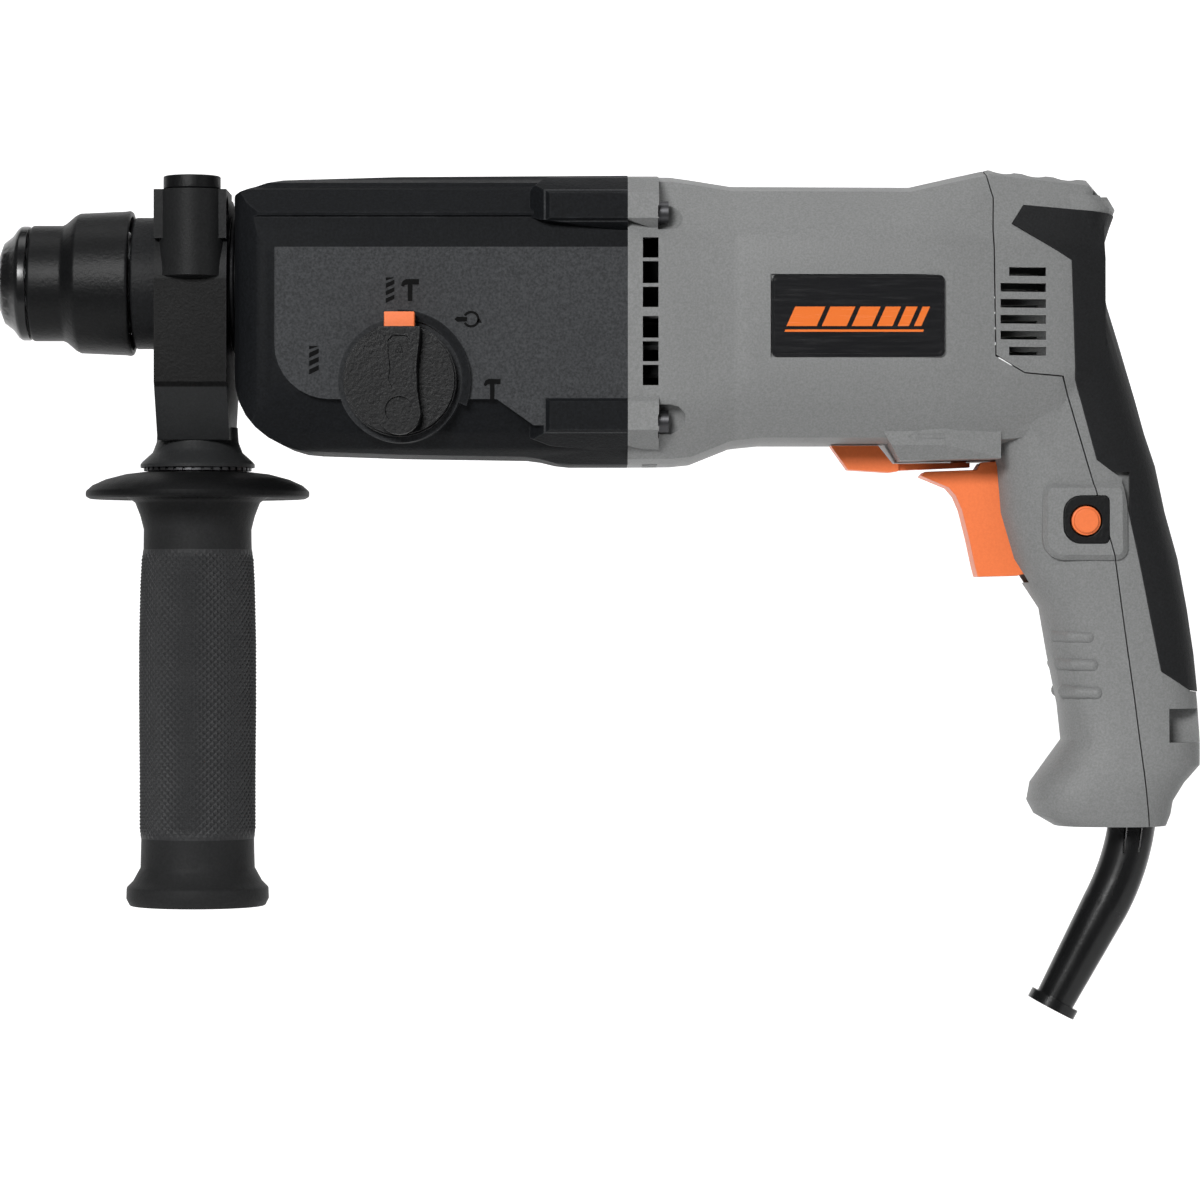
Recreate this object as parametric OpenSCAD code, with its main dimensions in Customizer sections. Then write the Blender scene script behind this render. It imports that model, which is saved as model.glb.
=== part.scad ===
// Rotary hammer: pistol-shaped, corded, with a keyless tool socket, a clamped side
// handle, a mode selector, a pneumatic hammer mechanism and a universal motor.
// The origin is the centre of the tool socket's mouth. The tool points along -X,
// +Z is up, and the mode selector is on the -Y side. Millimetres.

/* [Body] */
// Length from the dust cap's face to the joint between the gear and motor housings
housing_joint = 191; // [185:1:195]
// Half of the gear housing's width across its side panels
gear_half = 38; // [37:0.5:41]
// Half of the motor housing's width
motor_half = 37; // [36:0.5:40]
// Wall thickness of the moulded housings
wall = 2.8; // [2.4:0.1:3.2]
// Height of the motor axis below the spindle axis
motor_drop = 11.5; // [11.5:0.5:12.5]

/* [Nose] */
// Radius of the tool socket's bore
socket_r = 5; // [4.9:0.1:5.2]
// Radius of the cylindrical neck that the side handle clamps
neck_r = 20; // [19.5:0.1:20.4]
// Pull-back travel of the lock sleeve
sleeve_travel = 5; // [3:0.5:5]

/* [Side handle] */
// Distance of the side handle's axis behind the socket's mouth
handle_x = 60; // [59.6:0.1:60.4]
// Radius of the side grip
grip_r = 17; // [16:0.5:18]
// Radius of the hand guard on the side grip
guard_r = 34; // [31:1:34]

/* [Controls] */
// Radius of the mode knob
knob_r = 16.8; // [15.5:0.1:17]
// Radius of the lock-on button
lock_button_r = 4.4; // [3.8:0.1:4.6]

/* [Hidden] */
$fn = 48;
running = 0.05;
joint_x = housing_joint;
motor_z = -motor_drop;

// Colours of the mouldings and metals
charcoal = [0.13, 0.13, 0.14];
mid_grey = [0.50, 0.51, 0.51];
orange = [1.00, 0.42, 0.13];
rubber_black = [0.05, 0.05, 0.06];
steel = [0.62, 0.63, 0.65];
dark_steel = [0.30, 0.31, 0.33];
aluminium = [0.75, 0.76, 0.78];
copper = [0.78, 0.42, 0.22];
carbon = [0.16, 0.16, 0.17];

// Drive train: two spur gear pairs from the motor to the spindle
pinion_teeth = 8;
motor_gear_teeth = 44;
motor_module = 0.75;
shaft_teeth = 12;
spindle_teeth = 50;
spindle_module = 1;
shaft_z = motor_z - motor_module * (pinion_teeth + motor_gear_teeth) / 2;

// Points of an arc from angle a0 to a1, about c, with n steps
function arc(c, r, a0, a1, n = 8) =
    [for (i = [0 : n]) let (a = a0 + (a1 - a0) * i / n) [c[0] + r * cos(a), c[1] + r * sin(a)]];
// A half outline on the +Y side, closed by its own mirror image
function both_halves(pts) =
    concat(pts, [for (i = [len(pts) - 1 : -1 : 0]) [-pts[i][0], pts[i][1]]]);

// Cylinder along X between x0 and x1
module xcyl(x0, x1, r, y = 0, z = 0) {
    translate([x0, y, z]) rotate([0, 90, 0]) cylinder(h = x1 - x0, r = r);
}
// Tube along X
module xtube(x0, x1, r, bore, y = 0, z = 0) {
    difference() {
        xcyl(x0, x1, r, y, z);
        xcyl(x0 - 1, x1 + 1, bore, y, z);
    }
}
// Cylinder along Y between y0 and y1
module ycyl(y0, y1, r, x, z) {
    translate([x, y1, z]) rotate([90, 0, 0]) cylinder(h = y1 - y0, r = r);
}
// Extrusion along Y of an outline drawn in (x, z)
module side(y0, y1) {
    translate([0, y1, 0]) rotate([90, 0, 0]) linear_extrude(y1 - y0) children();
}
// Extrusion along X of an outline drawn in (y, z)
module section(x0, x1) {
    translate([x0, 0, 0]) rotate([90, 0, 90]) linear_extrude(x1 - x0) children();
}
// Extrusion along Z of an outline drawn in (x, y)
module plan(z0, z1) {
    translate([0, 0, z0]) linear_extrude(z1 - z0) children();
}
// Outline of a spur gear with straight-sided teeth, thinned for backlash
module gear_outline(teeth, mod, slack = 0.80) {
    pitch_r = teeth * mod / 2;
    tip_r = pitch_r + 0.9 * mod;
    root_r = pitch_r - 1.25 * mod;
    step = 360 / teeth;
    polygon([for (i = [0 : teeth - 1]) for (p = [
        [root_r, -0.36 * slack], [pitch_r, -0.25 * slack], [tip_r, -0.13 * slack],
        [tip_r, 0.13 * slack], [pitch_r, 0.25 * slack], [root_r, 0.36 * slack]])
        let (a = step * (i + p[1])) p[0] * [cos(a), sin(a)]]);
}
// Solid of revolution about X, from an outline in (radius, x)
module turned(pts) {
    rotate([0, 90, 0]) rotate_extrude() polygon(pts);
}
// Coil spring along X, swept as a many-sided wire
module coil(x0, x1, r, wire, turns, sides = 6, steps = 14) {
    n = turns * steps;
    pts = [for (i = [0 : n]) for (j = [0 : sides - 1])
        let (a = 360 * i / steps, b = 360 * j / sides, q = r + wire * cos(b))
        [x0 + wire + (x1 - x0 - 2 * wire) * i / n + wire * sin(b), q * cos(a), q * sin(a)]];
    walls = [for (i = [0 : n - 1]) for (j = [0 : sides - 1])
        let (k = (j + 1) % sides, p = i * sides, q = p + sides)
        [p + j, p + k, q + k, q + j]];
    polyhedron(pts, concat(walls, [[for (j = [sides - 1 : -1 : 0]) j],
        [for (j = [0 : sides - 1]) n * sides + j]]), convexity = 8);
}

// ---- Nose and tool socket ----
neck_front = 41;
cap_back = 9.2;
sleeve_back = 40.5;
web_front = 27.5;
web_back = 35.5;
holder_r = 12.9;
tube_r = 16.5;
cylinder_r = 13;
ball_r = 3.5;
ball_x = 31.5;
ball_reach = socket_r + 0.3 + ball_r;
barrel_bore = 17;

// Rubber cap that keeps dust out of the socket
module dust_cap() {
    color(rubber_black) turned([[7.05, 0.2], [8.6, 0], [12.4, 1.5], [14.3, 4], [16.7, 5.8],
        [17.4, 6.8], [17.4, cap_back], [holder_r + 0.05, cap_back],
        [holder_r + 0.05, 4.5], [7.05, 4.5]]);
}

// Pull-back sleeve that frees the locking balls
module lock_sleeve() {
    inner = holder_r + running;
    color(charcoal) turned([[inner, cap_back + 0.4], [17, cap_back + 0.4], [17.6, 10.2],
        [17.6, 19.2], [18.2, 20.4], [20.6, 23.2], [21.3, 24.6], [21.9, 38.2], [22.1, 39.6],
        [21.8, sleeve_back], [neck_r + 0.4, sleeve_back], [neck_r + 0.4, web_back],
        [16.6, web_back], [16.6, web_back - sleeve_travel - 0.3],
        [13.8, web_back - sleeve_travel - 0.3], [13.8, web_back], [inner, web_back],
        [inner, web_front], [18, web_front], [17.2, 22], [15.5, 20], [inner, 20]]);
}

module sleeve_spring() {
    color(steel) coil(web_back + 0.2, 47.6, 15.2, 0.8, 5);
}

// Two balls that lock the bit's grooves
module lock_balls() {
    color(steel) for (s = [-1, 1]) translate([ball_x, 0, s * ball_reach]) sphere(r = ball_r);
}

// Spindle: socket in front, hammer cylinder behind, turning in the nose barrel
module tool_holder() {
    color(dark_steel) difference() {
        turned([[socket_r, 0], [7, 0], [7, 4.5], [holder_r, 4.5], [holder_r, 47.8],
            [14, 47.8], [14, 66], [tube_r, 66],
            [tube_r, 145.4], [21, 145.4], [21, 148.4], [cylinder_r, 148.4], [cylinder_r, 74],
            [9, 74], [9, 60], [6.5, 60], [6.5, 52], [socket_r, 52]]);
        for (s = [0, 180]) rotate([s, 0, 0]) translate([ball_x, 0, 4])
            cylinder(h = 12, r = ball_r + 0.1);
    }
}

// Black neck that carries the spindle bearing and the side handle
module nose_barrel() {
    color(charcoal) turned([[barrel_bore, neck_front], [neck_r - 0.6, neck_front],
        [neck_r, neck_front + 0.6], [neck_r, 93.8], [barrel_bore, 93.8]]);
}

// Bright ring between the side handle's clamp and the gear housing
module neck_ring() {
    color(steel) xtube(71.1, 72.5, 21.4, neck_r);
}

module spindle_bearing() {
    color(steel) xtube(50, 64, barrel_bore - 0.02, 14 + 0.02);
}

// ---- Hammer mechanism ----
module beat_piece() {
    color(steel) turned([[0, 53], [3.6, 53], [4.8, 54.5], [4.8, 63], [8.95, 65], [8.95, 71],
        [7.4, 73], [7.4, 90], [6.4, 91.5], [0, 91.5]]);
}

module striker() {
    color(steel) difference() {
        turned([[0, 97.5], [7.5, 97.5], [8, 98.2], [8, 102], [12.95, 104], [12.95, 118],
            [12.2, 119], [0, 119]]);
        rotate([0, 90, 0]) translate([0, 0, 109]) rotate_extrude()
            translate([12.95, 0]) circle(r = 1.2);
    }
}

wobble_x = 158;
pin_r = 5.6;
finger_r = 2.8;
hub_r = 12;

// Piston, open fork at the rear for the pin
module piston() {
    color(aluminium) difference() {
        xcyl(130, 165.5, cylinder_r - running);
        xcyl(134, 170, 10.2);
        ycyl(-20, 20, pin_r, wobble_x, 0);
        translate([wobble_x - 14, -7, -20]) cube([40, 14, 20]);
    }
}

module piston_pin() {
    color(steel) difference() {
        ycyl(-11.5, 11.5, pin_r - 0.02, wobble_x, 0);
        translate([wobble_x, 0, -10]) cylinder(h = 20, r = finger_r + 1.5);
    }
}

// Rocking ring whose finger drives the piston
module wobble_ring() {
    color(dark_steel) {
        difference() {
            union() {
                xcyl(wobble_x - 4.5, wobble_x + 4.5, 16.5, 0, shaft_z);
                translate([wobble_x, 0, shaft_z + 14]) cylinder(h = -shaft_z - 9, r = finger_r);
            }
            translate([wobble_x, 0, shaft_z]) sphere(r = hub_r + 0.4);
        }
    }
}

module wobble_hub() {
    color(steel) difference() {
        translate([wobble_x, 0, shaft_z]) sphere(r = hub_r);
        xcyl(140, 176, 5, 0, shaft_z);
    }
}

// Intermediate shaft with the pinion that drives the spindle
module intermediate_shaft() {
    color(dark_steel) {
        xcyl(86.3, 190.3, 5, 0, shaft_z);
        section(117, 130) translate([0, shaft_z]) gear_outline(shaft_teeth, spindle_module);
    }
}

module intermediate_gear() {
    color(steel) difference() {
        section(176, 184) translate([0, shaft_z]) gear_outline(motor_gear_teeth, motor_module);
        xcyl(170, 190, 5, 0, shaft_z);
        for (a = [0 : 60 : 300]) xcyl(170, 190, 2, 9.5 * cos(a), shaft_z + 9.5 * sin(a));
    }
}

module intermediate_bearings() {
    color(steel) {
        xtube(86, 93.8, 9.5, 5 + 0.02, 0, shaft_z);
        xtube(185.8, 190.2, 8, 5 + 0.02, 0, shaft_z);
    }
}

module spindle_gear() {
    color(steel) difference() {
        section(119, 127) gear_outline(spindle_teeth, spindle_module);
        xcyl(110, 140, tube_r);
    }
}

module clutch_spring() {
    color(steel) coil(127.2, 145.2, 18.9, 1.5, 5);
}

// ---- Motor ----
shaft_r = 4;
rotor_r = 19;
stator_r = 31;
core_x0 = 222;
core_x1 = 262;

module armature_shaft() {
    color(steel) {
        xcyl(186, 296, shaft_r, 0, motor_z);
        section(175.5, 186) translate([0, motor_z]) rotate(180 / pinion_teeth)
            gear_outline(pinion_teeth, motor_module);
    }
}

// Laminated core with winding slots
module rotor_core() {
    slots = 12;
    color(dark_steel) difference() {
        xcyl(core_x0, core_x1, rotor_r, 0, motor_z);
        xcyl(core_x0 - 1, core_x1 + 1, shaft_r, 0, motor_z);
        for (i = [0 : slots - 1]) translate([0, 0, motor_z]) rotate([360 * i / slots, 0, 0])
            translate([core_x0 - 1, 12, -1.1]) cube([core_x1 - core_x0 + 2, 10, 2.2]);
    }
}

module rotor_windings() {
    color(copper) for (x = [core_x0 - 6.1, core_x1 + 0.1]) xtube(x, x + 6, 16.5, shaft_r, 0, motor_z);
}

module commutator() {
    bars = 24;
    color(copper) difference() {
        xcyl(271, 284, 12, 0, motor_z);
        xcyl(270, 285, shaft_r, 0, motor_z);
        for (i = [0 : bars - 1]) translate([0, 0, motor_z]) rotate([360 * i / bars, 0, 0])
            translate([272.5, 11.3, -0.3]) cube([12, 2, 0.6]);
    }
}

// Cooling fan behind the side vents
module motor_fan() {
    blades = 18;
    color(charcoal) difference() {
        union() {
            xcyl(203.5, 206, 28, 0, motor_z);
            xcyl(194.5, 213, 8, 0, motor_z);
            for (i = [0 : blades - 1]) translate([0, 0, motor_z])
                rotate([360 * i / blades, 0, 0]) translate([194.5, 7, -0.7]) cube([10, 20.6, 1.4]);
        }
        xcyl(194, 214, shaft_r, 0, motor_z);
    }
}

module stator_core() {
    color(dark_steel) difference() {
        xcyl(core_x0, core_x1, stator_r, 0, motor_z);
        xcyl(core_x0 - 1, core_x1 + 1, rotor_r + 0.6, 0, motor_z);
        for (s = [-1, 1]) translate([core_x0 - 1, s * 24 - 4, motor_z - 11])
            cube([core_x1 - core_x0 + 2, 8, 22]);
    }
}

module field_windings() {
    color(copper) for (s = [-1, 1]) difference() {
        translate([core_x0 - 8, s * 24 - 3.8, motor_z - 10.8])
            cube([core_x1 - core_x0 + 16, 7.6, 21.6]);
        xcyl(core_x0 - 9, core_x1 + 9, rotor_r + 0.8, 0, motor_z);
    }
}

module armature_bearings() {
    color(steel) {
        xtube(186.4, 190.2, 9.5, shaft_r + 0.02, 0, motor_z);
        xtube(288, 295, 9.5, shaft_r + 0.02, 0, motor_z);
    }
}

brush_x = 277.5;
module brush_holders() {
    color("goldenrod") for (s = [-1, 1]) difference() {
        translate([brush_x - 5, s > 0 ? 14 : -32, motor_z - 5]) cube([10, 18, 10]);
        translate([brush_x - 3.6, s > 0 ? 13 : -33, motor_z - 3.6]) cube([7.2, 20, 7.2]);
    }
}

module carbon_brushes() {
    color(carbon) for (s = [-1, 1])
        translate([brush_x - 3.5, s > 0 ? 12.3 : -26.3, motor_z - 3.5]) cube([7, 14, 7]);
}

// Aluminium plate that carries both shafts between the gearbox and the motor
module bearing_bridge() {
    color(aluminium) difference() {
        section(185.6, 190.4) polygon(both_halves([[0, 24], [20, 24], [31, 14], [31, -34],
            [22, -48.5], [0, -48.5]]));
        xcyl(180, 195, 9.5, 0, motor_z);
        xcyl(180, 195, 8, 0, shaft_z);
    }
}

// ---- Gear housing ----
housing_front = 72.9;
knob_x = 123.4;
knob_z = -31.3;
recess_half = gear_half - 1.7;
shoulder_r = 24;
screw_y = 33.4;
upper_screw_z = 18.9;
lower_screw_z = -43.2;

// Side profile of the gear housing, with its round lower front corner
module gear_profile() {
    polygon(concat([[housing_front, 24.6], [77.8, 26.7], [82.7, 28.5], [87.5, 29.7],
        [95, 30.1], [122, 31], [160, 31.5], [joint_x, 31.5], [joint_x, -55.7], [173, -55.7],
        [168.7, -55.2], [164.4, -54.1], [160, -53.5], [122, -52.9]],
        arc([housing_front + shoulder_r, -28], shoulder_r, 270, 180)));
}
// Plan of the gear housing: round cheeks behind the neck
module gear_plan(half) {
    polygon(concat([[joint_x, -half], [joint_x, half]],
        arc([88, half - 15], 15.1, 90, 180, 6), arc([88, 15 - half], 15.1, 180, 270, 6)));
}
// Raised panel on each side of the gear housing
module side_panel_outline() {
    polygon(concat([[86, 8.4], [joint_x, 8.4], [joint_x, -44.6], [163, -44.6],
        [152, -36.8]], arc([102.3, -20.5], 16.3, 270, 180)));
}
// Bosses for the four flange screws, between x0 and the end of the flange
module screw_bosses(x0, x1, taper) {
    reach = 39.6;
    for (s = [-1, 1]) intersection() {
        plan(-60, 40) polygon([[x0, 20 * s], [x1, 20 * s], [x1, reach * s],
            [x0 + taper, reach * s], [x0, (reach - taper) * s]]);
        union() {
            intersection() {
                section(x0, x1) polygon([[20 * s, 30.9], [31 * s, 29.4], [reach * s, 24.4],
                    [reach * s, 16.9], [34 * s, 13.4], [20 * s, 13.4]]);
                side(-50, 50) polygon([[x0, 25.6], [x0 + taper, 30.9], [x1, 31.2],
                    [x1, 13.4], [x0 + taper / 2, 16.6], [x0, 17.6]]);
            }
            intersection() {
                section(x0, x1) polygon([[20 * s, -52.5], [30 * s, -51.2],
                    [reach * s, -46], [reach * s, -37.6], [34 * s, -33], [20 * s, -33]]);
                side(-50, 50) polygon([[x0, -39.4], [x0 + taper, -35], [x1, -33],
                    [x1, -52.5], [x0 + taper, -50.4], [x0, -48.2]]);
            }
        }
    }
}

module gear_housing() {
    color(charcoal) difference() {
        union() {
            intersection() {
                section(housing_front, joint_x) polygon(both_halves([[0, 32], [15, 32],
                    [18, 30.2], [24.4, 28.6], [25.2, 27.4], [28.4, 26.2], [34.8, 18.9],
                    [34.6, 18.1], [33.6, 17.7], [recess_half - 1, 8.4], [recess_half, 6],
                    [recess_half, -35], [32, -46.5], [27, -51], [18, -56], [0, -56]]));
                side(-50, 50) gear_profile();
                plan(-60, 40) gear_plan(recess_half);
            }
            intersection() {
                side(-gear_half, gear_half) side_panel_outline();
                plan(-60, 40) gear_plan(gear_half);
            }
            screw_bosses(161.8, joint_x, 6);
            ycyl(-gear_half - 0.4, -28, knob_r + 1.7, knob_x, knob_z);
            translate([knob_x, -gear_half + 1, knob_z]) rotate([90, 0, 0]) rotate([0, 0, -21])
                rotate_extrude(angle = 113) translate([knob_r + 1.5, 0]) square([2.7, 2.6]);
        }
        intersection() {
            section(94, joint_x + 1) polygon(both_halves([[0, 28.4], [18, 28.4], [30, 17],
                [32.4, 8], [33.2, -32], [29, -43], [22, -49.5], [0, -49.5]]));
            side(-50, 50) polygon([[94, 26], [100, 27.4], [joint_x + 1, 28.6],
                [joint_x + 1, -50], [112, -50], [94, -38]]);
        }
        xcyl(60, 96, neck_r + 0.02);
        xcyl(86, 96, 9.52, 0, shaft_z);
        ycyl(-50, -20, 5.1, knob_x, knob_z);
        for (s = [-1, 1], z = [upper_screw_z, lower_screw_z])
            xcyl(174, joint_x + 1, 2.05, s * screw_y, z);
    }
}

// ---- Motor housing, handle and rear cover ----
handle_power = 2.7;
lock_x = 328.6;
lock_z = -72.7;
pad_y = -22.9;
vent_x0 = 195.4;
vent_x1 = 200.1;
trigger_half = 8.8;
flange_back = 200.2;
lever_pivot_x = 292;
lever_half = 5.5;
block_z = -54.6;
cover_screw_z = 24;
heel_screw_z = -148;
cover_seat = 324.2;
heel_seat = 350;

// Motor barrel: distance back, top, bottom and half-width of each cross-section
barrel_stations = [[joint_x, 31.4, -55.7, 38], [204, 31.2, -55.6, 37.6], [210, 30.4, -55, 36.4],
    [222, 28.5, -50.2, motor_half - 1.2], [224.2, 28.45, -49.9, motor_half - 1.2],
    [231, 28.4, -49.2, motor_half],
    [276, 28.2, -49.2, motor_half], [290, 31.4, -50, 35], [300, 33.6, -50, 33],
    [320, 31.6, -48, 29.5], [330, 30.7, -44, 26], [334.2, 26, -38, 22]];
// Handle: height, front, back and half-width of each horizontal slice
handle_stations = [[25.5, 312, 337, 19.5], [21.8, 310, 339.2, 21], [16, 310, 337, 22.5],
    [9, 310, 334.8, 23.5], [0, 310, 334.8, 24.5], [-8, 308, 336.4, 25],
    [-18, 304, 339.6, 25.2], [-36, 296, 345, 25], [-46, 299, 347.8, 23.5], [-56, 302, 351.2, 22],
    [-70, 303, 354.2, 21.2], [-84, 307, 358.1, 20.6], [-92, 312, 359.6, 20],
    [-99, 316.6, 360.9, 19.2], [-113, 319, 363, 18.6], [-128, 322.1, 364.5, 18.6],
    [-139, 323.3, 365.2, 19.2], [-146.6, 317.8, 365.2, 20.2], [-152, 313.9, 360.4, 21],
    [-157.5, 312.9, 357, 21], [-161.5, 315, 356.3, 20.2], [-165, 321, 355, 17.6]];

// Ring of points of a cross-section of the motor barrel, grown by an extra allowance
function barrel_ring(s, extra) =
    let (t = s[1] + extra, b = s[2] - extra, w = s[3] + extra, k = w / 37,
        x = s[0] > 330 ? s[0] + extra : s[0] < joint_x + 1 ? s[0] - 0.001 : s[0],
        half = [[12 * k, t], [23 * k, t - 2.2], [33.4 * k, 16 * k], [w, 10 * k],
            [w, b + 19.2], [w - 5.4 * k, b + 9.6], [25 * k, b + 1.4], [17 * k, b]])
    [for (p = both_halves(half)) [x, p[0], p[1]]];
// Ring of points of a rounded horizontal slice of the handle
function handle_ring(s, extra) =
    let (a = (s[2] - s[1]) / 2 + extra, w = s[3] + extra, q = 2 / handle_power,
        z = s[0] < -164 ? s[0] - extra : s[0] > 25 ? s[0] + extra : s[0])
    [for (i = [0 : 10 : 350]) [(s[1] + s[2]) / 2 + a * sign(cos(i)) * pow(abs(cos(i)), q),
        w * sign(sin(i)) * pow(abs(sin(i)), q), z]];
// Closed skin through a row of rings with equal numbers of points
module loft(rings) {
    n = len(rings[0]);
    last = (len(rings) - 1) * n;
    polyhedron([for (r = rings) each r], concat(
        [for (i = [0 : len(rings) - 2]) for (j = [0 : n - 1]) for (t = [0, 1])
            let (k = (j + 1) % n, p = i * n)
            t == 0 ? [p + j, p + k, p + n + k] : [p + j, p + n + k, p + n + j]],
        [[for (j = [n - 1 : -1 : 0]) j], [for (j = [0 : n - 1]) last + j]]), convexity = 6);
}
// Whole outer form of the motor housing, handle and rear cover
module body_form(extra = 0) {
    loft([for (s = barrel_stations) barrel_ring(s, extra)]);
    loft([for (s = handle_stations) handle_ring(s, extra)]);
}
// Three raised finger ridges on each side of the handle's front
module finger_ridges() {
    for (s = [-1, 1], i = [0 : 2]) hull() {
        translate([321 + i * 1.2, s * 10.2, -107.3 - i * 8.4]) sphere(r = 2.2, $fn = 16);
        translate([324.6 + i * 1.2, s * 14.9, -107.5 - i * 8.4]) sphere(r = 2, $fn = 16);
        translate([330 + i * 1.2, s * 16.9, -107.7 - i * 8.4]) sphere(r = 2, $fn = 16);
    }
}
// Everything behind the seam between the housing and the rear cover
module rear_region(gap = 0) {
    side(-60, 60) polygon([[298.4 + gap, 40], [298.4 + gap, 32], [300.4 + gap, 24],
        [299.9 + gap, 14], [300.5 + gap, -23.8 + gap], [309.5, -28.9 + gap],
        [320.9 + gap, -29.8 + gap], [331.4 + gap, -63.4], [337.5 + gap, -84.5],
        [343.5 + gap, -126.5], [348.6 + gap, -168], [380, -168], [380, 40]]);
}
// The part of the rear cover that the soft grip wraps
module grip_region(gap = 0) {
    side(-60, 60) polygon([[309.8 - gap, 21.9 + gap], [338, 19.8 + gap], [380, 19 + gap],
        [380, -127], [361.2, -123.8 - gap], [351.9 - gap, -118.1], [345 - gap, -84.5],
        [339.6 - gap, -59.8 - gap], [332 - gap, -54.4], [325.1 - gap, -30.4],
        [323.9 - gap, 5.1], [305.9 - gap, 16.2 - gap]]);
}
// Raised pad round the lock-on button, with a chamfered rim
module lock_pad() {
    hull() {
        side(pad_y, -10) lock_pad_outline(-1.6);
        side(pad_y + 1.7, -10) lock_pad_outline(0);
    }
}
module lock_pad_outline(grow) {
    polygon(concat(arc([319, -64.6], 3.3 + grow, 180, 90, 4),
        arc([337.8, -64.6], 3.3 + grow, 90, 0, 4), arc([338, -81.2], 3.3 + grow, 0, -90, 4),
        arc([322.2, -78], 6.5 + grow, 270, 180, 5)));
}
// Fairing between the barrel and the direction lever, in front of the handle
module lever_block() {
    intersection() {
        side(-30, 30) polygon([[264.8, -41.5], [272.8, block_z], [303, -54], [303, -41.5]]);
        plan(-60, -40) polygon([[260, -26.5], [286, -26.5], [303, -23.6], [303, 23.6],
            [286, 26.5], [260, 26.5]]);
        section(260, 304) polygon(both_halves([[0, -57], [21, -57], [26.5, -50],
            [27, -40], [0, -40]]));
    }
}
// Hollow inside the housing, handle and cover
module body_hollow() {
    difference() {
        body_form(-wall);
        for (s = [-1, 1]) xcyl(290, 332, 5.6, s * 13, cover_screw_z);
        for (s = [-1, 1], z = [upper_screw_z, lower_screw_z])
            xcyl(joint_x, 211, 7.6, s * screw_y, z);
        xcyl(320, 364, 5.2, 0, heel_screw_z);
        translate([351.5, -18, -142.2]) cube([18, 36, 15.6]);
        side(-1.2, 1.2) polygon([[302, 40], [302, -22], [345, -22], [345, 40]]);
        translate([284, -13, -60]) cube([15.5, 26, 16]);
    }
    xcyl(joint_x - 1, joint_x + 4, 30, 0, motor_z);
}
// Openings that belong to both the housing and the cover
module body_openings() {
    for (y = [-13, 13]) {
        xcyl(cover_seat, 360, 3.4, y, cover_screw_z);
        xcyl(304, 340, 2.05, y, cover_screw_z);
    }
    xcyl(heel_seat, 380, 3.4, 0, heel_screw_z);
    xcyl(326, 360, 2.05, 0, heel_screw_z);
    translate([345.2, 0, -158]) rotate([0, 6, 0]) translate([0, 0, -20])
        cylinder(h = 30, r = 7.6);
    ycyl(-11.6, 11.6, 2.1, trigger_x, trigger_z - 2.4);
    side(pad_y - 1, -19.1) lock_frame_outline(0.15);
    ycyl(-20, -15, lock_button_r + 0.5, lock_x, lock_z);
    for (s = [-1, 1]) translate([354.2, s > 0 ? 8 : -30, -139.5]) cube([20, 22, 10.2]);
}
// Outline of the black frame in the pad, round on its front side
module lock_frame_outline(grow = 0) {
    polygon(concat(arc([lock_x + 7 - 1.5, -66.7], 1.5 + grow, 90, 0, 3),
        arc([lock_x + 7 - 1.5, -78], 1.5 + grow, 0, -90, 3),
        arc([lock_x - 1.6, -74.4], 5.1 + grow, 270, 180, 5),
        arc([lock_x - 1.6, -70.3], 5.1 + grow, 180, 90, 5)));
}

module motor_housing() {
    color(mid_grey) difference() {
        union() {
            difference() {
                union() {
                    body_form();
                    lock_pad();
                    finger_ridges();
                    screw_bosses(joint_x, flange_back, 0);
                    lever_block();
                }
                body_hollow();
            }
        }
        rear_region();
        body_openings();
        for (s = [-1, 1]) {
            for (z = [upper_screw_z, lower_screw_z]) {
                translate([0, s * (screw_y + 1.3), z]) turned([[0, flange_back - 0.3],
                    [5.2, flange_back - 0.3], [5.2, 203.8], [4.4, 206], [2.4, 208], [0, 208.8]]);
                xcyl(180, flange_back - 0.1, 2.1, s * screw_y, z);
            }
            for (v = [[11.3, 5.2], [4.2, -2.4], [-3.4, -9.5], [-12.1, -18.6],
                [-19.6, -25.6], [-26.6, -32.7]])
                translate([vent_x0, s > 0 ? 30 : -42, v[1]])
                    cube([vent_x1 - vent_x0, 12, v[0] - v[1]]);
        }
        translate([vent_x0, -16, -58]) cube([4.6, 10, 8]);
        translate([vent_x0, 6, -58]) cube([4.6, 10, 8]);
        translate([233.4, -50, -24.4]) cube([52, 50 - motor_half + 0.9, 24.8]);
        translate([294.5, -trigger_half - 0.6, -91.2]) cube([30, 2 * trigger_half + 1.2, 37.6]);
        translate([lever_pivot_x, 0, -58]) cylinder(h = 14, r = 2.8);
    }
}

module rear_cover() {
    color(mid_grey) difference() {
        intersection() {
            difference() {
                union() {
                    body_form();
                    lock_pad();
                }
                body_hollow();
            }
            rear_region(0.4);
        }
        intersection() {
            difference() {
                body_form(3);
                body_form(-1.9);
            }
            grip_region(0.15);
        }
        body_openings();
        for (i = [0 : 5]) translate([302.1 + (i == 0 || i == 5 ? 2.6 : 0), -50, 0.2 - i * 4.75])
            cube([13.8 - (i == 0 || i == 5 ? 2.6 : 0), 100, 2.6]);
        for (i = [0 : 2]) ycyl(-30, 30, 7, 305 + i * 9.6, 39.1 - i * 0.9);
    }
}

// Rubber insert over the back of the handle
module soft_grip() {
    color(rubber_black) difference() {
        intersection() {
            body_form(0.35);
            grip_region();
        }
        body_form(-1.75);
        side(-30, 30) lock_clear_outline();
    }
}
module lock_clear_outline() {
    polygon([[310, -58], [342, -58], [342, -86], [310, -86]]);
}

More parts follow.
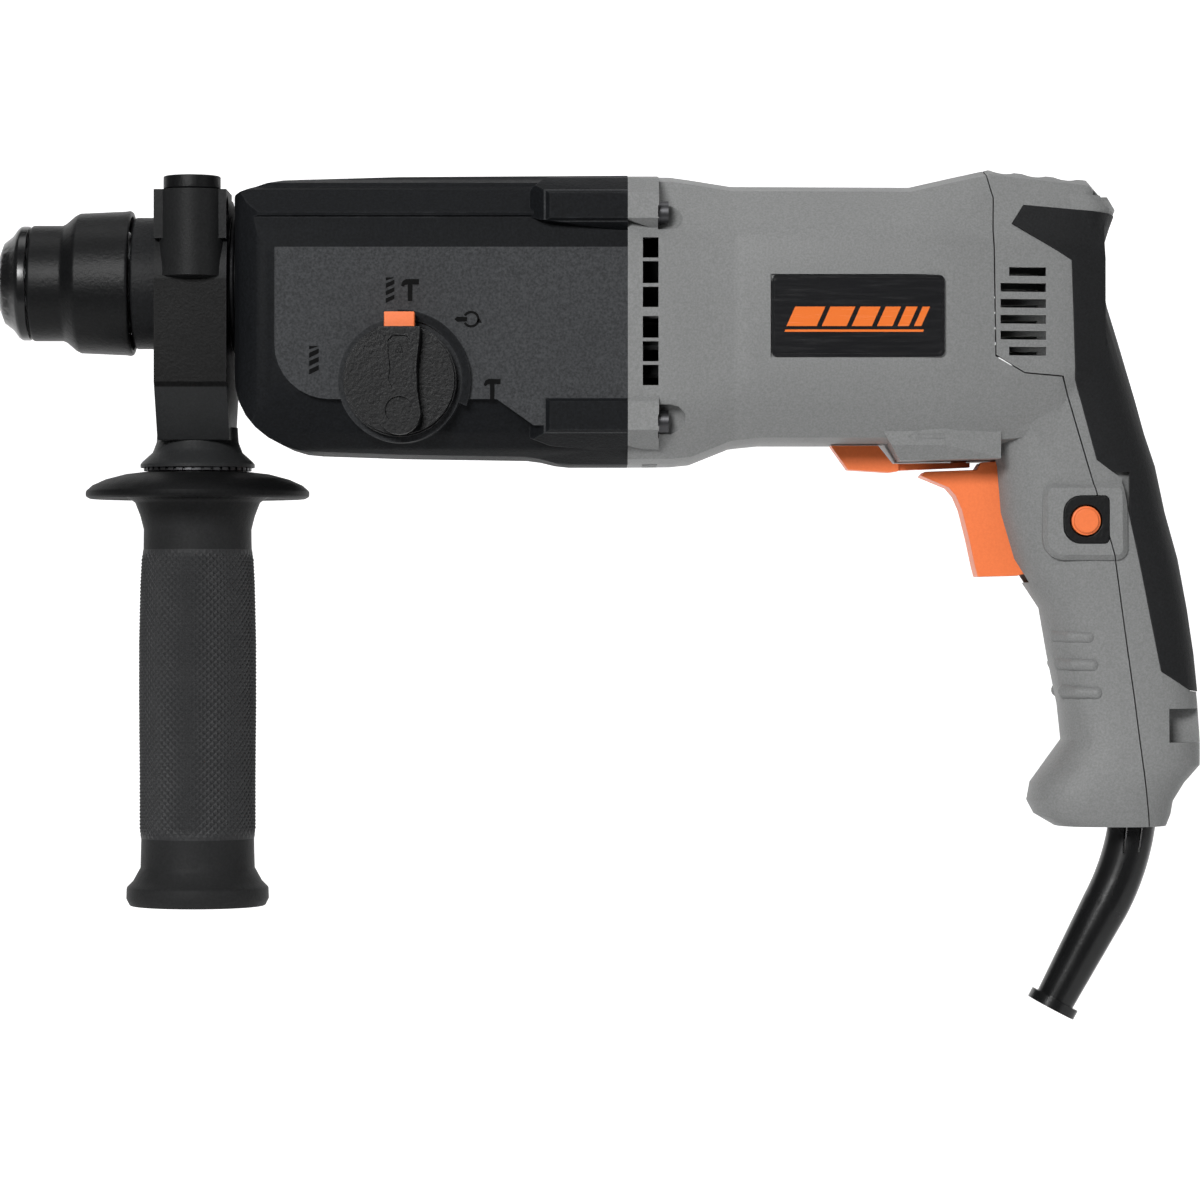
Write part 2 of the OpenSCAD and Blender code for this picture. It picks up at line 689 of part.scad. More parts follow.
module label_plate() {
    color("black") side(-motor_half + 0.05, -motor_half + 0.85) polygon(concat(
        arc([283.4, -1.6], 1.8, 90, 0, 4), arc([283.4, -22.4], 1.8, 0, -90, 4),
        arc([235.4, -22.4], 1.8, 270, 180, 4), arc([235.4, -1.6], 1.8, 180, 90, 4)));
}

module cap_screw(x0, x1, head_r, y, z) {
    difference() {
        union() {
            xcyl(x0, x1 + 0.1, 2, y, z);
            xcyl(x1, x1 + 3.2, head_r, y, z);
        }
        translate([x1 + 1.4, y, z]) rotate([0, 90, 0]) cylinder(h = 3, r = 1.7, $fn = 6);
    }
}
module flange_screws() {
    color(rubber_black) for (s = [-1, 1], z = [upper_screw_z, lower_screw_z])
        cap_screw(175, flange_back - 0.3, 3.4, s * screw_y, z);
}
module cover_screws() {
    color(rubber_black) {
        for (y = [-13, 13]) cap_screw(304.5, cover_seat, 3.2, y, cover_screw_z);
        cap_screw(327, heel_seat, 3.2, 0, heel_screw_z);
    }
}

// ---- Controls ----
knob_front = -gear_half - 0.8;
knob_face = knob_front - 4.2;
grip_bar_face = knob_front - 9;

// Mode knob: a disc with a waisted grip bar
module mode_knob() {
    color(rubber_black) difference() {
        union() {
            ycyl(knob_face, knob_front, knob_r - 0.6, knob_x, knob_z);
            ycyl(knob_face + 1.4, knob_front, knob_r, knob_x, knob_z);
            side(grip_bar_face, knob_front) polygon(concat(
                [[knob_x - 6.2, knob_z + 15.6], [knob_x - 6, knob_z + 12],
                    [knob_x - 5.1, knob_z + 4], [knob_x - 5.3, knob_z - 3]],
                arc([knob_x, knob_z - 10], 6.4, 180, 360, 10),
                [[knob_x + 5.3, knob_z - 3], [knob_x + 5.1, knob_z + 4],
                    [knob_x + 6, knob_z + 12], [knob_x + 6.2, knob_z + 15.6]]));
        }
        side(grip_bar_face - 1, grip_bar_face + 0.8) polygon([[knob_x - 2, knob_z + 13],
            [knob_x - 3.3, knob_z + 11.4], [knob_x - 3.3, knob_z + 8], [knob_x - 2.7, knob_z + 3],
            [knob_x - 3.3, knob_z], [knob_x - 2, knob_z - 2.6], [knob_x + 2, knob_z - 2.6],
            [knob_x + 3.3, knob_z], [knob_x + 2.7, knob_z + 3], [knob_x + 3.3, knob_z + 8],
            [knob_x + 3.3, knob_z + 11.4], [knob_x + 2, knob_z + 13]]);
        ycyl(grip_bar_face - 1, grip_bar_face + 0.8, 4.1, knob_x, knob_z - 9.2);
        translate([knob_x - 4.8, grip_bar_face + 1, knob_z + 12.2])
            cube([9.6, 6.2, 10]);
    }
}

// Orange tip that unlocks the knob
module mode_button() {
    color(orange) translate([knob_x - 4.5, grip_bar_face + 1.3, knob_z + 14.4])
        cube([9, 5.6, 5.6]);
}

// Selector shaft with its off-centre shifting pin
module mode_shaft() {
    color(steel) {
        ycyl(knob_front, -27.5, 5, knob_x, knob_z);
        ycyl(-27.5, -23.5, 1.8, knob_x, knob_z + 2.8);
    }
}

trigger_x = 308;
trigger_z = -57.6;
module trigger() {
    color(orange) difference() {
        side(-trigger_half, trigger_half) polygon([[280, -58.9], [281.2, -57.6],
            [296.8, -57], [298.2, -54.8], [305, -54.3], [311, -55.2], [312.4, -58],
            [312.4, -70], [312.8, -88.2], [309, -89.2], [304.8, -89.3], [297.2, -89.5],
            [296.4, -86.4], [294.6, -78], [292.4, -69.2], [290.6, -65], [288.4, -62.4],
            [284.6, -60.8]]);
        ycyl(-20, 20, 2.05, trigger_x, trigger_z - 2.4);
    }
}

module switch_body() {
    color(charcoal) difference() {
        union() {
            translate([322, -10.5, -98]) cube([24, 21, 34]);
            ycyl(-11.4, 11.4, 2, trigger_x, trigger_z - 2.4);
        }
        xcyl(320, 332, 3.05, 0, -72);
    }
}

module switch_plunger() {
    color(steel) xcyl(313, 328, 3, 0, -72);
}

// Lever that selects forward or reverse, swinging under the motor
module direction_lever() {
    color(orange) {
        side(-lever_half, lever_half) polygon([[252.8, -49.6], [267.2, -49.6],
            [271.6, -55.1], [273.4, -55.1], [273.4, -57.3], [270.6, -57.7],
            [258, -56.9]]);
        side(-3.4, 3.4) polygon([[271, -55.1], [295.2, -54.7], [295.2, -56.1], [271, -57.2]]);
        translate([lever_pivot_x, 0, -56]) cylinder(h = 9, r = 2.4);
    }
}

module lock_frame() {
    color(rubber_black) difference() {
        side(pad_y - 0.5, -19.2) lock_frame_outline();
        ycyl(-40, 0, lock_button_r + 0.35, lock_x, lock_z);
    }
}

module lock_button() {
    color(orange) union() {
        ycyl(-23.6, -15.2, lock_button_r, lock_x, lock_z);
        ycyl(-24.6, -23.6, lock_button_r - 0.7, lock_x, lock_z);
    }
}

// ---- Side handle ----
clamp_x0 = 48.9;
clamp_x1 = 70.7;
clamp_r = 25;
boss_y = -19.6;
boss_r = 10;
stop_r = 3.6;
stop_y = -21;
stop_z = 21.4;
clamp_bolt_r = 4;

// Clamp head: ring round the neck, depth-stop boss and hub
module side_clamp() {
    color(charcoal) difference() {
        union() {
            section(clamp_x0, clamp_x1) union() {
                circle(r = clamp_r);
                polygon([[clamp_r, 0], [clamp_r, -31], [13, -48], [-13, -48],
                    [-clamp_r, -31], [-clamp_r, 0]]);
            }
            translate([handle_x, boss_y, 0.8]) cylinder(h = 25.9, r = boss_r);
            translate([clamp_x0, boss_y, 0.8]) cube([clamp_x1 - clamp_x0, 16, 25.9]);
            translate([clamp_x0, boss_y - 5.5, 12]) cube([clamp_x1 - clamp_x0, 16, 14.7]);
            translate([handle_x, 0, 0]) rotate_extrude() polygon([[0, -44], [12.2, -44],
                [12.5, -48.5], [13.7, -51.6], [16.8, -54.4], [17.4, -55.2], [17.4, -56.2],
                [0, -56.2]]);
        }
        xcyl(40, 80, neck_r + running);
        xcyl(40, 80, stop_r, stop_y, stop_z);
        translate([handle_x, boss_y, 24.4]) cylinder(h = 4, r = 5.1);
        translate([handle_x, boss_y, 25.4]) cylinder(h = 4, r = 8.9);
        translate([handle_x, 0, -60]) cylinder(h = 25, r = clamp_bolt_r + 0.1);
        translate([handle_x, 0, -43]) cylinder(h = 12, r = 7.2, $fn = 6);
    }
}

// Push button that frees the depth stop
module depth_button() {
    color(charcoal) {
        translate([handle_x, boss_y, 27]) cylinder(h = 3.9, r = 8.6);
        translate([handle_x, boss_y, 25.8]) cylinder(h = 2, r = 5);
    }
}

module clamp_bolt() {
    color(steel) {
        translate([handle_x, 0, -42.9]) cylinder(h = 6, r = 7, $fn = 6);
        translate([handle_x, 0, -104]) cylinder(h = 62, r = clamp_bolt_r);
    }
}

// Serrated washer between the clamp and the grip
module clamp_washer() {
    teeth = 36;
    color(rubber_black) translate([handle_x, 0, -57.2]) difference() {
        cylinder(h = 0.9, r = 16.4);
        cylinder(h = 6, r = clamp_bolt_r + 0.1, center = true);
        for (i = [0 : teeth - 1]) rotate([0, 0, 360 * i / teeth]) translate([15.6, -0.5, -1])
            cube([2, 1, 4]);
    }
}

module side_grip() {
    neck = grip_r - 0.6;
    color(rubber_black) difference() {
        translate([handle_x, 0, 0]) rotate_extrude() polygon([[4.4, -57.6], [17, -57.6],
            [22, -58.2], [28, -59.8], [guard_r - 2, -61.6], [guard_r, -63.4],
            [guard_r, -65], [guard_r - 1.4, -65.8], [28, -64.6], [22.6, -64.6],
            [19, -66.8], [neck + 1, -71], [neck, -75], [neck + 0.1, -82], [grip_r, -92],
            [grip_r + 0.4, -110], [grip_r + 0.4, -128], [grip_r + 0.2, -150],
            [grip_r + 0.2, -170], [grip_r + 0.4, -178], [grip_r + 2.6, -182],
            [grip_r + 4.6, -184], [grip_r + 4.7, -187.4], [grip_r + 3.6, -189.6],
            [grip_r - 2.5, -189.6], [grip_r - 4, -186], [4.4, -186]]);
        translate([handle_x, 0, -100]) cylinder(h = 12, r = 8.05, $fn = 6);
    }
}

module grip_nut() {
    color("goldenrod") translate([handle_x, 0, -99.5]) difference() {
        cylinder(h = 11, r = 8, $fn = 6);
        translate([0, 0, -1]) cylinder(h = 14, r = clamp_bolt_r + 0.06);
    }
}

// ---- Cord guard ----
guard_root = [345.2, -162];
guard_lean = 6;
guard_turn = 22;
guard_arc_r = 75;
guard_tail = 34;
cord_hole_r = 3.8;
guard_r0 = 7.2;
guard_r1 = 6;

// Places children at the start of the guard's straight tail, pointing down along it
module at_tail() {
    translate([guard_root[0], 0, guard_root[1]]) rotate([0, guard_lean, 0])
        translate([-guard_arc_r, 0, 0]) rotate([0, guard_turn, 0])
            translate([guard_arc_r, 0, 0]) children();
}
// Bent stretch of the guard, a bored round bar
module guard_bend(r) {
    translate([guard_root[0], 0, guard_root[1]]) rotate([0, guard_lean, 0])
        translate([-guard_arc_r, 0, 0]) rotate([90, 0, 0]) rotate([0, 0, -guard_turn])
            rotate_extrude(angle = guard_turn, $fn = 96) translate([guard_arc_r, 0])
                difference() {
                    circle(r = r);
                    circle(r = cord_hole_r);
                }
}
module cord_guard() {
    color(rubber_black) difference() {
        union() {
            guard_bend(guard_r0);
            at_tail() rotate_extrude() polygon([[cord_hole_r, 0], [cord_hole_r + 0.5, 0],
                [cord_hole_r + 0.5, 1.5], [guard_r0 - 0.4, 1.5], [guard_r0 - 0.4, 0], [guard_r0, 0],
                [guard_r1, -guard_tail + 1.4], [guard_r1 + 1.8, -guard_tail + 1.4],
                [guard_r1 + 1.8, -guard_tail - 1.6], [cord_hole_r, -guard_tail - 1.6]]);
            translate([guard_root[0], 0, guard_root[1]]) rotate([0, guard_lean, 0])
                rotate_extrude() polygon([[cord_hole_r + 0.5, -1.5], [guard_r0 - 0.4, -1.5],
                    [guard_r0 - 0.4, 1.6], [8.1, 1.6], [8.1, 3], [cord_hole_r + 0.5, 3]]);
        }
        for (x = [342.4, 347.1]) side(-20, 20) polygon([[x - 0.5, -165.4], [x + 0.5, -165.4],
            [x - 0.5, -173.5], [x - 1.1, -173.5]]);
    }
}

module cord_clamp() {
    color(charcoal) translate([345, 0, -156]) rotate([0, guard_lean, 0]) difference() {
        translate([-8, -7, -1.5]) cube([16, 14, 2.7]);
        translate([0, 0, -5]) cylinder(h = 12, r = cord_hole_r);
    }
}

dust_cap();
lock_sleeve();
sleeve_spring();
lock_balls();
tool_holder();
nose_barrel();
neck_ring();
spindle_bearing();
beat_piece();
striker();
piston();
piston_pin();
wobble_ring();
wobble_hub();
intermediate_shaft();
intermediate_gear();
intermediate_bearings();
spindle_gear();
clutch_spring();
gear_housing();
bearing_bridge();
motor_housing();
rear_cover();
soft_grip();
label_plate();
flange_screws();
cover_screws();
armature_shaft();
rotor_core();
rotor_windings();
commutator();
motor_fan();
stator_core();
field_windings();
armature_bearings();
brush_holders();
carbon_brushes();
mode_knob();
mode_button();
mode_shaft();
trigger();
switch_body();
switch_plunger();
direction_lever();
lock_button();
lock_frame();
side_clamp();
depth_button();
clamp_bolt();
clamp_washer();
side_grip();
grip_nut();
cord_guard();
cord_clamp();
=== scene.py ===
import math

import bmesh
import bpy
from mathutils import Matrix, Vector


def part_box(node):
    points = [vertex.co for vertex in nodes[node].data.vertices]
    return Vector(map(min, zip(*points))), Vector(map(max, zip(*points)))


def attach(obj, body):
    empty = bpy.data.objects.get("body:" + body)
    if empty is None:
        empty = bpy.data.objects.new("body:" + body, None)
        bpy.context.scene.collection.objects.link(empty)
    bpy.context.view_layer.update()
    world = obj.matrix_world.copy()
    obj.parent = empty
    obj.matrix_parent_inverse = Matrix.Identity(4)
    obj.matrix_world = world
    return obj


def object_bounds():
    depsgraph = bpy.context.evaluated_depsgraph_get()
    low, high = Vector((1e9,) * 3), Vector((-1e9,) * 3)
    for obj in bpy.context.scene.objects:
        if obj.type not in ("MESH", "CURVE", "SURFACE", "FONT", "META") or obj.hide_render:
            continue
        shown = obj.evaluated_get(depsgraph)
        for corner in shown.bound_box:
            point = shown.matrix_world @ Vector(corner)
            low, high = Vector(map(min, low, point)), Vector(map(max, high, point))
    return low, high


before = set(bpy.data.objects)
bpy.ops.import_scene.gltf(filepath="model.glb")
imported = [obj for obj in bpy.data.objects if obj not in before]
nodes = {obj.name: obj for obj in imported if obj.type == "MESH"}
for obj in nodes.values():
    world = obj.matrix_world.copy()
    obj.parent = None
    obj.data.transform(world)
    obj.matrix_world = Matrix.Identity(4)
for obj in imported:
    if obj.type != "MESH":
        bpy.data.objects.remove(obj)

cad_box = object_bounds()
scene = bpy.context.scene
scene.view_settings.view_transform = "Standard"

MM = 0.001
PANEL_PLANE = 0.038  # distance of the gear housing's raised side panels from the middle, metres
PANEL_DEPTH = 1.6  # the panels lie this far inside the housing's widest point, millimetres
LEVER_BLOCK_HALF = 26.5  # half width of the fairing round the direction lever, millimetres
FLOOR_DROP = 0.16  # the floor lies this far below the tool, metres
FLOOR_HALF = 3.5
SWEEP_RADIUS = 0.9
EYE = (0.1827, -1.44, -0.0965)
LENS = 141.64
SENSOR = 36


def spot(node, fx=0.5, fy=0.5, fz=0.5):
    """A point of a node's box, given as a fraction of its three sides."""
    lo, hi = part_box(node)
    return Vector((lo.x + (hi.x - lo.x) * fx, lo.y + (hi.y - lo.y) * fy,
                   lo.z + (hi.z - lo.z) * fz))


# ---------------------------------------------------------------- materials

class Nodes:
    """A small helper that builds a node tree."""

    def __init__(self, name):
        self.material = bpy.data.materials.new(name)
        self.material.use_nodes = True
        self.tree = self.material.node_tree
        self.shader = self.tree.nodes["Principled BSDF"]

    def add(self, kind, **settings):
        node = self.tree.nodes.new(kind)
        for key, value in settings.items():
            setattr(node, key, value)
        return node

    def link(self, a, b):
        self.tree.links.new(a, b)

    def put(self, socket, value):
        self.shader.inputs[socket].default_value = value

    def coords(self, scale=(1, 1, 1), turn=(0, 0, 0)):
        where = self.add("ShaderNodeTexCoord")
        mapping = self.add("ShaderNodeMapping")
        mapping.inputs["Scale"].default_value = scale
        mapping.inputs["Rotation"].default_value = turn
        self.link(where.outputs["Object"], mapping.inputs["Vector"])
        return mapping.outputs["Vector"]

    def noise(self, vector, scale, detail=3.0, roughness=0.55):
        n = self.add("ShaderNodeTexNoise")
        n.inputs["Scale"].default_value = scale
        n.inputs["Detail"].default_value = detail
        n.inputs["Roughness"].default_value = roughness
        self.link(vector, n.inputs["Vector"])
        return n.outputs["Fac"]

    def cells(self, vector, scale):
        n = self.add("ShaderNodeTexVoronoi", feature="SMOOTH_F1")
        n.inputs["Scale"].default_value = scale
        self.link(vector, n.inputs["Vector"])
        return n.outputs["Distance"]

    def math(self, operation, a, b=None, clamp=False):
        n = self.add("ShaderNodeMath", operation=operation, use_clamp=clamp)
        for i, v in enumerate((a, b)):
            if v is None:
                continue
            if isinstance(v, (int, float)):
                n.inputs[i].default_value = v
            else:
                self.link(v, n.inputs[i])
        return n.outputs[0]

    def ramp(self, factor, lo, hi, a, b):
        n = self.add("ShaderNodeMapRange", clamp=True)
        n.inputs["From Min"].default_value = lo
        n.inputs["From Max"].default_value = hi
        n.inputs["To Min"].default_value = a
        n.inputs["To Max"].default_value = b
        self.link(factor, n.inputs["Value"])
        return n.outputs["Result"]

    def mix(self, factor, a, b, blend="MIX"):
        n = self.add("ShaderNodeMix", data_type="RGBA", blend_type=blend)
        for socket, v in ((n.inputs[0], factor), (n.inputs[6], a), (n.inputs[7], b)):
            if isinstance(v, (int, float)):
                socket.default_value = v
            elif isinstance(v, (tuple, list)):
                socket.default_value = (*v[:3], 1)
            else:
                self.link(v, socket)
        return n.outputs[2]

    def edges(self, radius):
        """0 on flat skin, rising to 1 on convex and concave edges."""
        bevel = self.add("ShaderNodeBevel", samples=4)
        bevel.inputs["Radius"].default_value = radius
        geometry = self.add("ShaderNodeNewGeometry")
        dot = self.add("ShaderNodeVectorMath", operation="DOT_PRODUCT")
        self.link(bevel.outputs["Normal"], dot.inputs[0])
        self.link(geometry.outputs["Normal"], dot.inputs[1])
        return self.ramp(dot.outputs["Value"], 0.99, 0.8, 0.0, 1.0)

    def bump(self, height, strength, distance, under=None):
        n = self.add("ShaderNodeBump")
        n.inputs["Strength"].default_value = strength
        n.inputs["Distance"].default_value = distance
        self.link(height, n.inputs["Height"])
        if under is not None:
            self.link(under, n.inputs["Normal"])
        return n.outputs["Normal"]


def moulded(name, colour, rough=0.5, grain=1900, depth=0.5, speckle=0.1, mottle=0.05,
            wear_and_rim_highlight=0.35, worn_and_highlight_colour=None, specular=0.5, sheen=0.0):
    """Injection-moulded skin: spark-eroded grain, faint handling marks, and edges lightened partly as
    rubbed wear and partly as painted rim highlight.
    """
    m = Nodes(name)
    v = m.coords()
    fine = m.noise(v, grain, 4.0, 0.65)
    pits = m.cells(v, grain * 0.6)
    broad = m.noise(v, 26, 4.0, 0.6)
    rubbed = m.noise(v, 140, 5.0, 0.7)
    height = m.math("ADD", fine, m.math("MULTIPLY", pits, 0.5))
    m.link(m.bump(height, depth, 0.00018), m.shader.inputs["Normal"])
    dark = tuple(c * (1 - speckle) for c in colour)
    light = tuple(min(1, c * (1 + speckle)) for c in colour)
    skin = m.mix(m.ramp(fine, 0.36, 0.64, 0, 1), dark, light)
    skin = m.mix(m.ramp(broad, 0.3, 0.7, 0, mottle * 2), skin, tuple(c * 0.6 for c in colour))
    # lighter edges: rubbed wear, and painted rim highlight where the edge colour and amount are raised
    edge = m.math("MULTIPLY", m.edges(0.0007), m.ramp(rubbed, 0.42, 0.62, 0.15, 1))
    worn_and_highlight_colour = worn_and_highlight_colour or tuple(min(1, c * 1.5 + 0.03) for c in colour)
    skin = m.mix(m.math("MULTIPLY", edge, wear_and_rim_highlight), skin, worn_and_highlight_colour)
    m.link(skin, m.shader.inputs["Base Color"])
    gloss = m.math("ADD", m.ramp(broad, 0.3, 0.7, rough - 0.05, rough + 0.05),
                   m.math("MULTIPLY", edge, -0.12))
    m.link(gloss, m.shader.inputs["Roughness"])
    m.put("Specular IOR Level", specular)
    if sheen:
        m.put("Sheen Weight", sheen)
        m.put("Sheen Roughness", 0.5)
    return m.material


def panelled(name, face, rest, plane, rough=0.62, grain=1150):
    """The gear housing's skin: sparkling grain on the raised side panels, darker elsewhere."""
    m = Nodes(name)
    v = m.coords()
    split = m.add("ShaderNodeSeparateXYZ")
    m.link(v, split.inputs[0])
    depth = m.math("ABSOLUTE", split.outputs[1])
    raised = m.math("MULTIPLY", m.ramp(depth, plane - 0.0003, plane - 0.0001, 0, 1),
                    m.ramp(depth, plane + 0.0003, plane + 0.0005, 1, 0))
    fine = m.noise(v, grain, 4.0, 0.65)
    pits = m.cells(v, grain * 0.6)
    broad = m.noise(v, 22, 4.0, 0.6)
    rubbed = m.noise(v, 140, 5.0, 0.7)
    height = m.math("ADD", fine, m.math("MULTIPLY", pits, 0.5))
    m.link(m.bump(height, 0.7, 0.00018), m.shader.inputs["Normal"])
    sparkle = m.ramp(fine, 0.36, 0.66, 0, 1)
    panel = m.mix(sparkle, tuple(c * 0.68 for c in face), tuple(c * 1.38 for c in face))
    plain = m.mix(sparkle, tuple(c * 0.6 for c in rest), tuple(c * 1.5 for c in rest))
    skin = m.mix(raised, plain, panel)
    skin = m.mix(m.ramp(broad, 0.3, 0.7, 0, 0.12), skin, tuple(c * 0.5 for c in face))
    edge = m.math("MULTIPLY", m.edges(0.0008), m.ramp(rubbed, 0.42, 0.62, 0.25, 1))
    skin = m.mix(m.math("MULTIPLY", edge, 0.4), skin, tuple(c * 1.7 for c in face))
    m.link(skin, m.shader.inputs["Base Color"])
    m.link(m.math("ADD", m.ramp(broad, 0.3, 0.7, rough - 0.05, rough + 0.05),
                  m.math("MULTIPLY", edge, -0.1)), m.shader.inputs["Roughness"])
    m.put("Specular IOR Level", 0.12)
    return m.material


def banded(name, bands, rough=0.45, grain=1250):
    """Black moulding in bands of height, each given as (top of the band in metres, colour)."""
    m = Nodes(name)
    v = m.coords()
    split = m.add("ShaderNodeSeparateXYZ")
    m.link(v, split.inputs[0])
    fine = m.noise(v, grain, 4.0, 0.65)
    broad = m.noise(v, 30, 4.0, 0.6)
    rubbed = m.noise(v, 150, 5.0, 0.7)
    m.link(m.bump(fine, 0.5, 0.00018), m.shader.inputs["Normal"])
    skin = bands[0][1]
    for top, colour in bands[1:]:
        skin = m.mix(m.ramp(split.outputs[2], top - 0.0002, top + 0.0002, 1, 0), skin, colour)
    skin = m.mix(m.ramp(fine, 0.38, 0.64, 0, 0.3), skin, (0.016, 0.0163, 0.017), "ADD")
    skin = m.mix(m.ramp(broad, 0.3, 0.7, 0, 0.3), skin, (0.003, 0.003, 0.003))
    edge = m.math("MULTIPLY", m.edges(0.0007), m.ramp(rubbed, 0.42, 0.62, 0.2, 1))
    skin = m.mix(m.math("MULTIPLY", edge, 0.35), skin, (0.045, 0.045, 0.047))
    m.link(skin, m.shader.inputs["Base Color"])
    m.link(m.math("ADD", m.ramp(broad, 0.3, 0.7, rough - 0.05, rough + 0.07),
                  m.math("MULTIPLY", edge, -0.1)), m.shader.inputs["Roughness"])
    m.put("Specular IOR Level", 0.12)
    return m.material


def turned_metal(name, colour, rough=0.3, lines=(2600, 60, 60), depth=0.25):
    """Machined metal with fine turning marks round its axis."""
    m = Nodes(name)
    v = m.coords(lines)
    marks = m.noise(v, 1.0, 4.0, 0.6)
    film = m.noise(m.coords(), 60, 4.0, 0.6)
    m.link(m.bump(marks, depth, 0.00008), m.shader.inputs["Normal"])
    m.link(m.mix(m.ramp(film, 0.35, 0.7, 0, 0.35), colour, tuple(c * 0.72 for c in colour)),
           m.shader.inputs["Base Color"])
    m.link(m.math("ADD", m.ramp(film, 0.3, 0.7, rough - 0.06, rough + 0.1),
                  m.math("MULTIPLY", marks, 0.06)), m.shader.inputs["Roughness"])
    m.put("Metallic", 1.0)
    return m.material


def glossy_film(name, colour, rough=0.16):
    """Printed film under a clear coat, with hair scratches and a slight waviness."""
    m = Nodes(name)
    v = m.coords((60, 60, 900), (0, 0.5, 0))
    scratches = m.noise(v, 1.0, 5.0, 0.75)
    waves = m.noise(m.coords(), 45, 2.0, 0.5)
    m.link(m.bump(waves, 0.12, 0.0004), m.shader.inputs["Normal"])
    lit = tuple(min(1, c * 1.4 + 0.01) for c in colour)
    m.link(m.mix(m.ramp(scratches, 0.55, 0.8, 0, 0.25), colour, lit),
           m.shader.inputs["Base Color"])
    m.link(m.ramp(scratches, 0.45, 0.75, rough, rough + 0.14), m.shader.inputs["Roughness"])
    m.put("Coat Weight", 0.4)
    m.put("Coat Roughness", 0.08)
    return m.material


LOOKS = {
    "charcoal": moulded("charcoal_skin", (0.008, 0.0085, 0.0095), rough=0.5, grain=1350,
                        depth=0.8, speckle=0.35, wear_and_rim_highlight=0.3, specular=0.22),
    "gear": panelled("gear_skin", (0.050, 0.052, 0.055), (0.0055, 0.0063, 0.0076), PANEL_PLANE,
                     grain=1350),
    "grip": banded("grip_skin", [(1.0, (0.006, 0.0062, 0.0065)), (-0.066, (0.022, 0.0224, 0.023))],
                   rough=0.55),
    "grey": moulded("grey_skin", (0.236, 0.240, 0.239), rough=0.52, grain=1650, depth=0.5,
                    speckle=0.13, mottle=0.04, wear_and_rim_highlight=0.3, worn_and_highlight_colour=(0.40, 0.40, 0.40), specular=0.3),
    "rubber": moulded("rubber_skin", (0.009, 0.0095, 0.0105), rough=0.68, grain=1500, depth=0.7,
                      speckle=0.35, wear_and_rim_highlight=0.25, specular=0.3, sheen=0.05),
    "knurl": moulded("grip_rubber", (0.025, 0.0255, 0.027), rough=0.6, grain=1500, depth=0.45,
                     speckle=0.15, wear_and_rim_highlight=0.3, specular=0.35, sheen=0.05),
    # the black look's strong edge lightening is painted rim highlight as well as wear
    "black": moulded("black_skin", (0.0048, 0.0051, 0.0055), rough=0.42, grain=1250, depth=0.55,
                     speckle=0.3, wear_and_rim_highlight=0.7, worn_and_highlight_colour=(0.045, 0.046, 0.048), specular=0.22),
    # the clamp's colour bands by height are painted light and shade: from 0 to 32.5 mm below the middle is
    # near-black painted shade, the bands above and below are lighter
    "clamp": banded("clamp_skin", [(1.0, (0.016, 0.0165, 0.017)), (0.0, (0.001, 0.001, 0.001)),
                                   (-0.0325, (0.032, 0.033, 0.034))]),
    "satin": moulded("satin_black", (0.007, 0.0072, 0.0076), rough=0.24, grain=1200, depth=0.12,
                     speckle=0.08, wear_and_rim_highlight=0.3, specular=0.45),
    "sign": moulded("sign_skin", (0.0015, 0.0016, 0.0018), rough=0.6, grain=1250, depth=0.3,
                    speckle=0.1, wear_and_rim_highlight=0.1, specular=0.08),
    "hub": moulded("hub_black", (0.032, 0.033, 0.034), rough=0.4, grain=1400, depth=0.3,
                   speckle=0.1, wear_and_rim_highlight=0.4),
    "orange": moulded("orange_skin", (1.0, 0.22, 0.065), rough=0.42, grain=1400, depth=0.25,
                      speckle=0.05, mottle=0.03, wear_and_rim_highlight=0.3, worn_and_highlight_colour=(1.0, 0.36, 0.16), specular=0.3),
    "label": glossy_film("label_film", (0.0095, 0.0097, 0.011)),
    "label_orange": glossy_film("label_orange", (0.93, 0.20, 0.03), 0.22),
    "steel": turned_metal("machined_steel", (0.56, 0.57, 0.58), 0.26),
    "dark_steel": turned_metal("dark_steel_skin", (0.20, 0.205, 0.215), 0.34),
    "screw": turned_metal("screw_black", (0.10, 0.10, 0.105), 0.42, (900, 900, 900), 0.2),
    "aluminium": turned_metal("cast_aluminium", (0.66, 0.67, 0.68), 0.42, (420, 420, 420), 0.4),
    "copper": turned_metal("enamelled_copper", (0.80, 0.33, 0.15), 0.34, (1900, 220, 220), 0.5),
    "brass": turned_metal("brass_skin", (0.78, 0.57, 0.24), 0.32),
    "carbon": moulded("carbon_skin", (0.03, 0.03, 0.032), rough=0.7, grain=1150, depth=0.5,
                      wear_and_rim_highlight=0.1),
}

# the look of each node; the others are steel
FINISH = {
    "dust_cap": "satin", "lock_sleeve": "black", "nose_barrel": "charcoal",
    "neck_ring": "charcoal", "gear_housing": "gear", "motor_housing": "grey",
    "rear_cover": "grey", "soft_grip": "rubber", "label_plate": "label",
    "flange_screws": "screw", "cover_screws": "screw", "mode_knob": "black",
    "mode_button": "orange", "trigger": "orange", "direction_lever": "orange",
    "lock_button": "orange", "lock_frame": "black", "side_clamp": "clamp",
    "depth_button": "black", "side_grip": "grip", "cord_guard": "satin", "cord_clamp": "black",
    "clamp_washer": "screw", "switch_body": "black", "switch_plunger": "black",
    "mode_shaft": "dark_steel", "rotor_core": "dark_steel", "stator_core": "dark_steel",
    "rotor_windings": "copper", "field_windings": "copper", "commutator": "copper",
    "motor_fan": "hub", "bearing_bridge": "aluminium", "brush_holders": "brass",
    "carbon_brushes": "carbon", "piston": "aluminium",
}
